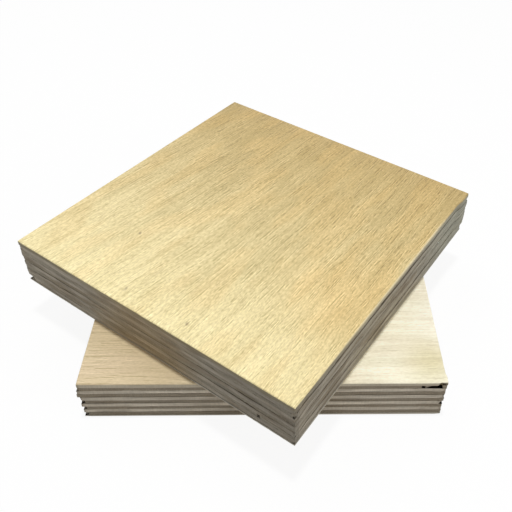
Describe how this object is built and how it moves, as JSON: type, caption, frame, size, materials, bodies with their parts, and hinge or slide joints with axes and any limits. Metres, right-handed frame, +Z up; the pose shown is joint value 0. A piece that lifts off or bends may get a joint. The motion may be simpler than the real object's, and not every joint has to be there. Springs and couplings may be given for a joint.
{
  "type": "stack of plywood sheets",
  "caption": "Square pieces of bare multi-ply plywood laid one on the other, the upper turned so that its corners overhang; crossed veneers show on the sawn edges.",
  "frame": {"origin": "centre of the lower sheet's underside, on the surface that the stack lies on", "axes": "+Z up through the sheets, +X along the lower sheet's face grain, -Y towards the side that the picture was taken from"},
  "size_m": [0.1392, 0.1396, 0.0309],
  "materials": {
    "face_veneer": "sanded bare veneer, fine short pores",
    "crossband": "sawn bare veneer, dark where its end grain shows",
    "long_band": "sawn bare veneer, paler where its long grain shows"
  },
  "bodies": {
    "root": {"lower_face_veneer": "face_veneer", "lower_crossband_2": "crossband", "lower_long_band_3": "long_band", "lower_crossband_4": "crossband", "lower_long_band_5": "long_band", "lower_crossband_6": "crossband", "lower_long_band_7": "long_band", "lower_crossband_8": "crossband", "lower_long_band_9": "long_band", "lower_crossband_10": "crossband", "lower_back_veneer": "face_veneer", "upper_face_veneer": "face_veneer", "upper_crossband_2": "crossband", "upper_long_band_3": "long_band", "upper_crossband_4": "crossband", "upper_long_band_5": "long_band", "upper_crossband_6": "crossband", "upper_long_band_7": "long_band", "upper_crossband_8": "crossband", "upper_long_band_9": "long_band", "upper_crossband_10": "crossband", "upper_back_veneer": "face_veneer"}
  },
  "joints": []
}
